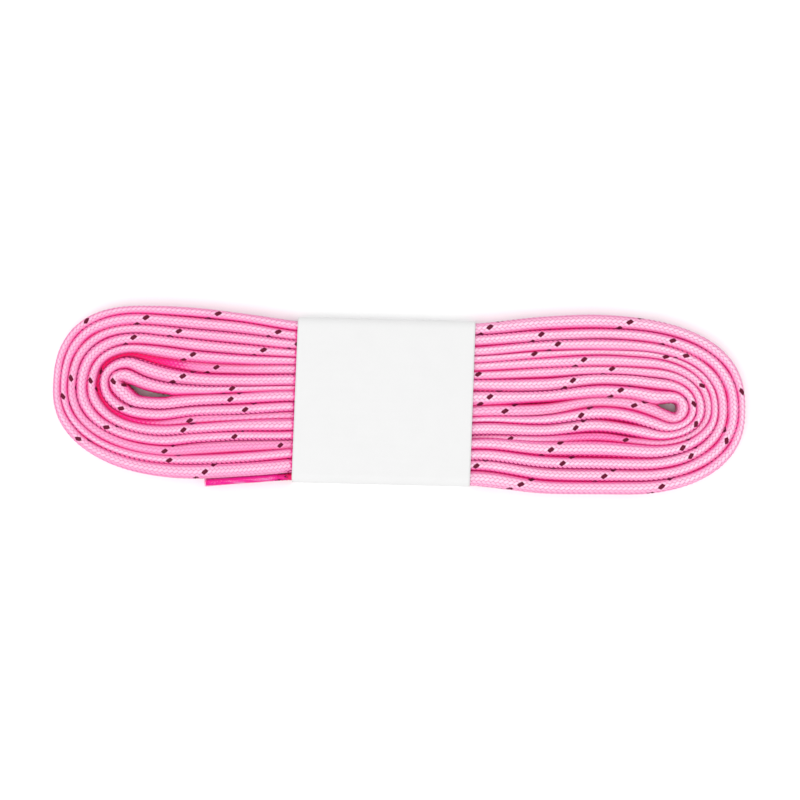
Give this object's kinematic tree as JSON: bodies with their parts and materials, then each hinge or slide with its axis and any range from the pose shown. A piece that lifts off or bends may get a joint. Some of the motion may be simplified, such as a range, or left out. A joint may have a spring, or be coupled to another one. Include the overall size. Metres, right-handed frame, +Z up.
{
  "type": "banded pair of ice-skate laces",
  "caption": "Pair of flat braided skate laces wound on edge into a flattened spiral hank and held by a blank paper band.",
  "frame": {"origin": "middle of the hank's footprint, on the surface that the band's underside rests on", "axes": "+X along the hank, away from the loose tail; +Y across it, away from the side that the tail lies on; +Z up, across the laces' width"},
  "size_m": [0.2354, 0.0612, 0.0107],
  "materials": {
    "lace": "matt braided polyester, pink with dark tracer flecks",
    "aglet_film": "clear glossy film over magenta-looking lace",
    "paper": "uncoated white paper, blank",
    "glue": "dried hot-melt glue"
  },
  "bodies": {
    "hank": {"lace_a": "lace", "lace_b": "lace", "lace_a_inner_aglet": "aglet_film", "lace_a_inner_end": "lace", "lace_b_outer_aglet": "aglet_film", "lace_b_outer_end": "lace", "lace_b_inner_aglet": "aglet_film", "lace_b_inner_end": "lace"},
    "tail": {"lace_a_tail": "lace", "lace_a_outer_aglet": "aglet_film"},
    "band": {"paper_band": "paper", "band_glue": "glue"}
  },
  "joints": [
    {"name": "band_slide", "type": "slide", "parent": "hank", "child": "band", "axis": [1, 0, 0], "range_m": [-0.147, 0.158], "deforming": ["paper_band"]},
    {"name": "tail_swing", "type": "hinge", "parent": "hank", "child": "tail", "pos_m": [-0.0394, -0.02635, 0.00349], "axis": [0, 0, 1], "range_deg": [0, 90]}
  ]
}
